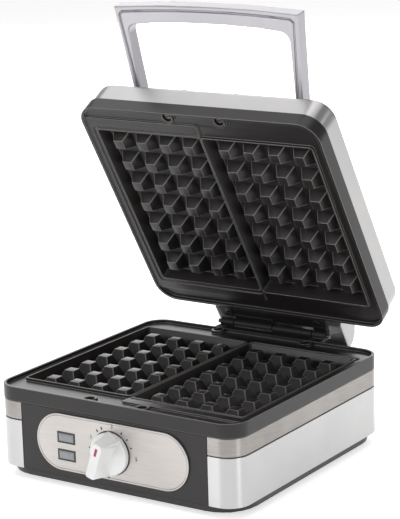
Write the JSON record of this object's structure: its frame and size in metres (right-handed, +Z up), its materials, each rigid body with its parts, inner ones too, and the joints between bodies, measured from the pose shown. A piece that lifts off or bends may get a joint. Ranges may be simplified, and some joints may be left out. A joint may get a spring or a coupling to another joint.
{
  "type": "waffle maker",
  "caption": "Open two-waffle maker: hinged lid with a loop handle, two cast plates of square pegs, and a front panel with a heat dial and lamps.",
  "frame": {"origin": "on the table, under the middle of the whole appliance with its lid open", "axes": "+Z up, -Y towards the control panel at the front, +X to the right of a person in front of it"},
  "size_m": [0.2362, 0.3055, 0.3797],
  "materials": {
    "nonstick": "die-cast aluminium under a dark, slightly glossy non-stick coating",
    "silver": "satin silver sheet and casting",
    "steel": "brushed, warm grey",
    "black": "black heat-proof moulding",
    "knob": "pearl white, satin",
    "marker": "red",
    "lens": "smoky grey window",
    "rubber": "black",
    "screw": "plain steel",
    "shield": "bright pressed sheet",
    "ceramic": "off-white insulating body",
    "element": "sheathed tubular element, dark from heat",
    "amber": "small amber lamp"
  },
  "bodies": {
    "base": {"base_bracket_screw_left": "screw", "base_bracket_screw_right": "screw", "bottom_pan": "black", "control_plate": "steel", "cord_gland": "rubber", "foot_front_left": "rubber", "foot_front_right": "rubber", "foot_rear_left": "rubber", "foot_rear_right": "rubber", "foot_screw_front_left": "screw", "foot_screw_front_right": "screw", "foot_screw_rear_left": "screw", "foot_screw_rear_right": "screw", "front_panel": "black", "hinge_base_bracket": "black", "hinge_carrier": "black", "hinge_pin": "screw", "lamp_board": "black", "lower_heat_shield": "shield", "lower_heater": "element", "lower_housing": "silver", "lower_plate": "nonstick", "lower_plate_screw_front_left": "screw", "lower_plate_screw_front_right": "screw", "lower_plate_screw_rear_left": "screw", "lower_plate_screw_rear_right": "screw", "lower_thermal_fuse": "ceramic", "power_lamp": "amber", "power_lens": "lens", "ready_lamp": "amber", "ready_lens": "lens", "terminal_block": "ceramic", "thermostat_body": "ceramic", "thermostat_bracket": "screw", "trim_band": "steel"},
    "lid": {"lid_cover": "silver", "upper_plate": "nonstick", "upper_heater": "element", "upper_heat_shield": "shield", "upper_thermal_fuse": "ceramic", "handle": "silver", "hinge_lid_bracket": "black", "upper_plate_screw_left": "screw", "upper_plate_screw_right": "screw", "lid_bracket_screw_left": "screw", "lid_bracket_screw_right": "screw", "handle_screw_left": "screw", "handle_screw_right": "screw"},
    "knob": {"knob": "knob", "knob_marker": "marker", "thermostat_shaft": "screw"}
  },
  "joints": [
    {"name": "lid_hinge", "type": "hinge", "parent": "base", "child": "lid", "pos_m": [0, 0.12214, 0.07908], "axis": [-1, 0, 0], "range_deg": [-58.8, 34]},
    {"name": "knob_turn", "type": "hinge", "parent": "base", "child": "knob", "pos_m": [0, -0.12698, 0.0378], "axis": [0, 1, 0], "range_deg": [-103, 78]}
  ]
}
